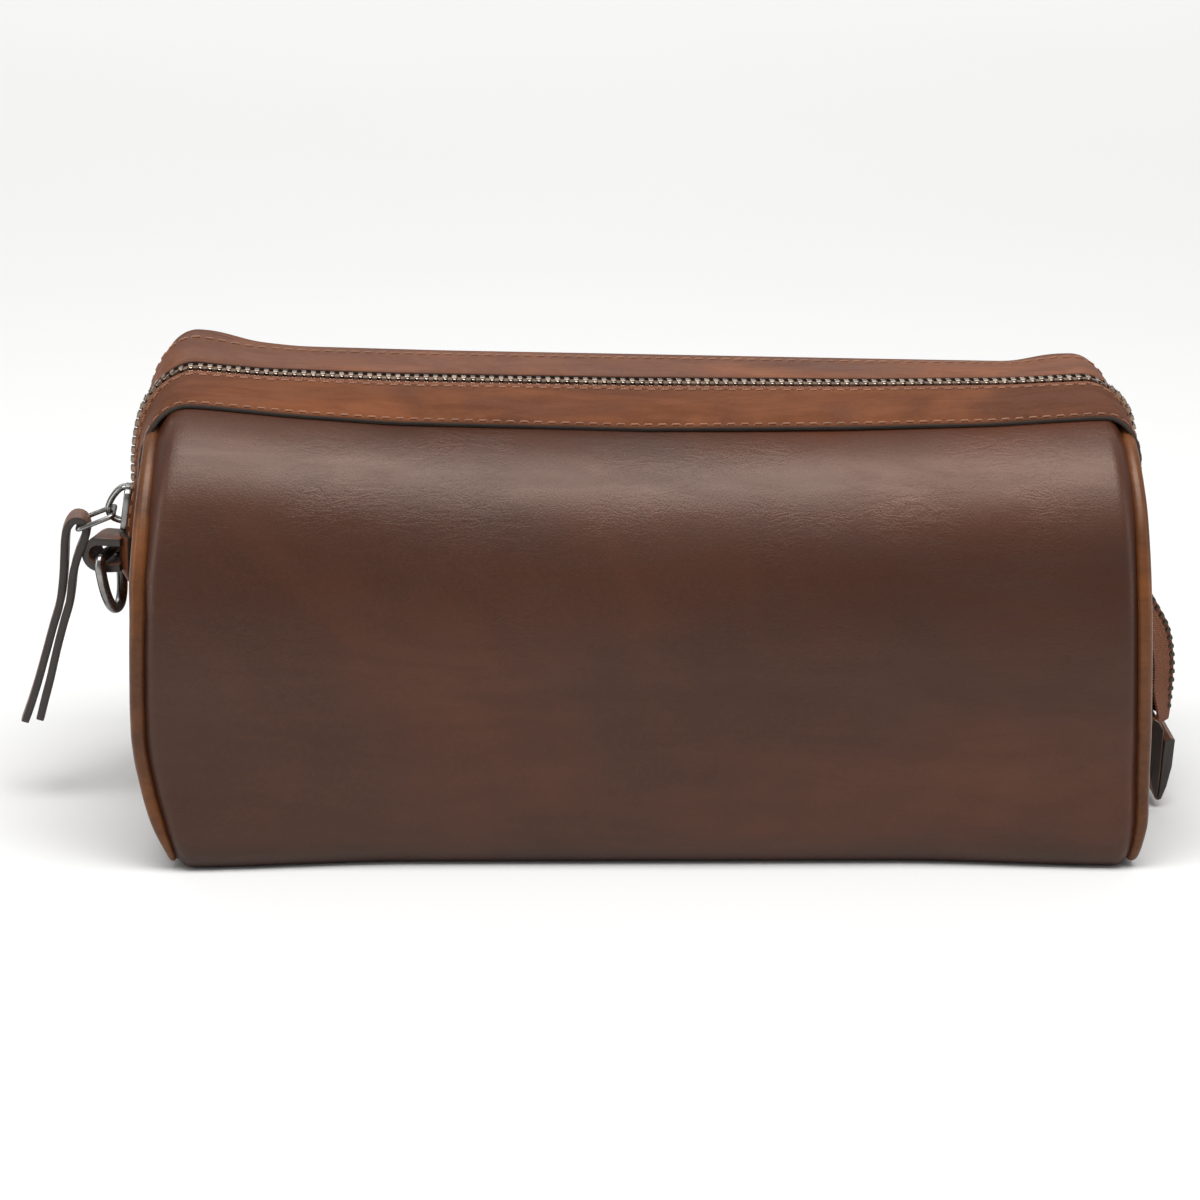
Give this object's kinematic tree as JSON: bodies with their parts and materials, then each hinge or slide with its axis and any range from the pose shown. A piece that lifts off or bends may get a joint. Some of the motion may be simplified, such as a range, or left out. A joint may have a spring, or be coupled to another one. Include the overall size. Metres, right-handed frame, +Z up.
{
  "type": "shaving kit bag",
  "caption": "Boxy leather wash bag with piped ends, a zip band over the top and both ends, a leather zip pull, a hanging ring and a free zip tail.",
  "frame": {"origin": "middle of the base, on the surface the bag stands on", "axes": "+X along the bag towards the zip's free tail, -Y towards the front wall, +Z up"},
  "size_m": [0.3148, 0.122, 0.1169],
  "materials": {
    "wrap_leather": "waxed full-grain leather, dark reddish brown",
    "band_leather": "smooth tan leather with a painted edge",
    "piping_leather": "smooth tan leather, rolled",
    "pull_leather": "dark brown leather with a raw edge",
    "lining_cloth": "plain woven cotton",
    "stiffener_board": "pressed fibre board",
    "zip_tape": "herringbone woven tape",
    "zip_metal": "antique nickel plated"
  },
  "bodies": {
    "base": {"base_wrap": "wrap_leather", "base_lining": "lining_cloth", "base_board": "stiffener_board", "left_end_base": "wrap_leather", "left_lining_base": "lining_cloth", "left_piping_base": "piping_leather", "left_strip_foot_front": "band_leather", "left_tape_foot_front": "zip_tape", "left_teeth_foot_front": "zip_metal", "left_strip_foot_rear": "band_leather", "left_tape_foot_rear": "zip_tape", "left_teeth_foot_rear": "zip_metal", "right_end_base": "wrap_leather", "right_lining_base": "lining_cloth", "right_piping_base": "piping_leather", "right_strip_foot_front": "band_leather", "right_tape_foot_front": "zip_tape", "right_teeth_foot_front": "zip_metal", "right_strip_foot_rear": "band_leather", "right_tape_foot_rear": "zip_tape", "right_teeth_foot_rear": "zip_metal", "front_top_stop": "zip_metal", "rear_top_stop": "zip_metal", "zip_end_patch": "band_leather", "ring_tab": "pull_leather"},
    "front_lip": {"front_wall": "wrap_leather", "front_lining": "lining_cloth", "front_strip": "band_leather", "front_zip_tape": "zip_tape", "front_zip_teeth": "zip_metal", "left_end_front": "wrap_leather", "left_lining_front": "lining_cloth", "left_piping_front": "piping_leather", "right_end_front": "wrap_leather", "right_lining_front": "lining_cloth", "right_piping_front": "piping_leather"},
    "rear_lip": {"rear_wall": "wrap_leather", "rear_lining": "lining_cloth", "rear_strip": "band_leather", "rear_zip_tape": "zip_tape", "rear_zip_teeth": "zip_metal", "left_end_rear": "wrap_leather", "left_lining_rear": "lining_cloth", "left_piping_rear": "piping_leather", "right_end_rear": "wrap_leather", "right_lining_rear": "lining_cloth", "right_piping_rear": "piping_leather"},
    "zip_slider": {"zip_slider": "zip_metal"},
    "pull_link": {"pull_link": "zip_metal"},
    "pull_strap": {"pull_strap": "pull_leather"},
    "hanging_ring": {"hanging_ring": "zip_metal"},
    "zip_tail": {"tail_tape": "zip_tape", "tail_teeth": "zip_metal", "tail_tab": "pull_leather"}
  },
  "joints": [
    {"name": "front_lip_open", "type": "slide", "parent": "base", "child": "front_lip", "axis": [0, -1, 0], "range_m": [0, 0.018]},
    {"name": "rear_lip_open", "type": "slide", "parent": "base", "child": "rear_lip", "axis": [0, 1, 0], "range_m": [0, 0.018]},
    {"name": "slider_travel", "type": "slide", "parent": "base", "child": "zip_slider", "axis": [0, 0, 1], "range_m": [0, 0.0095]},
    {"name": "link_swing", "type": "hinge", "parent": "zip_slider", "child": "pull_link", "pos_m": [-0.13955, 0, 0.0809], "axis": [0, 1, 0], "range_deg": [0, 75]},
    {"name": "pull_swing", "type": "hinge", "parent": "pull_link", "child": "pull_strap", "pos_m": [-0.14907, 0, 0.07698], "axis": [0, 1, 0], "range_deg": [-4, 90]},
    {"name": "ring_swing", "type": "hinge", "parent": "base", "child": "hanging_ring", "pos_m": [-0.142, 0, 0.0695], "axis": [0.2756, 0.9613, 0], "range_deg": [-3, 16]},
    {"name": "tail_swing", "type": "hinge", "parent": "base", "child": "zip_tail", "pos_m": [0.1385, 0, 0.063], "axis": [0, -1, 0], "range_deg": [-8, 60], "stiffness_Nm_per_rad": 0.02}
  ]
}
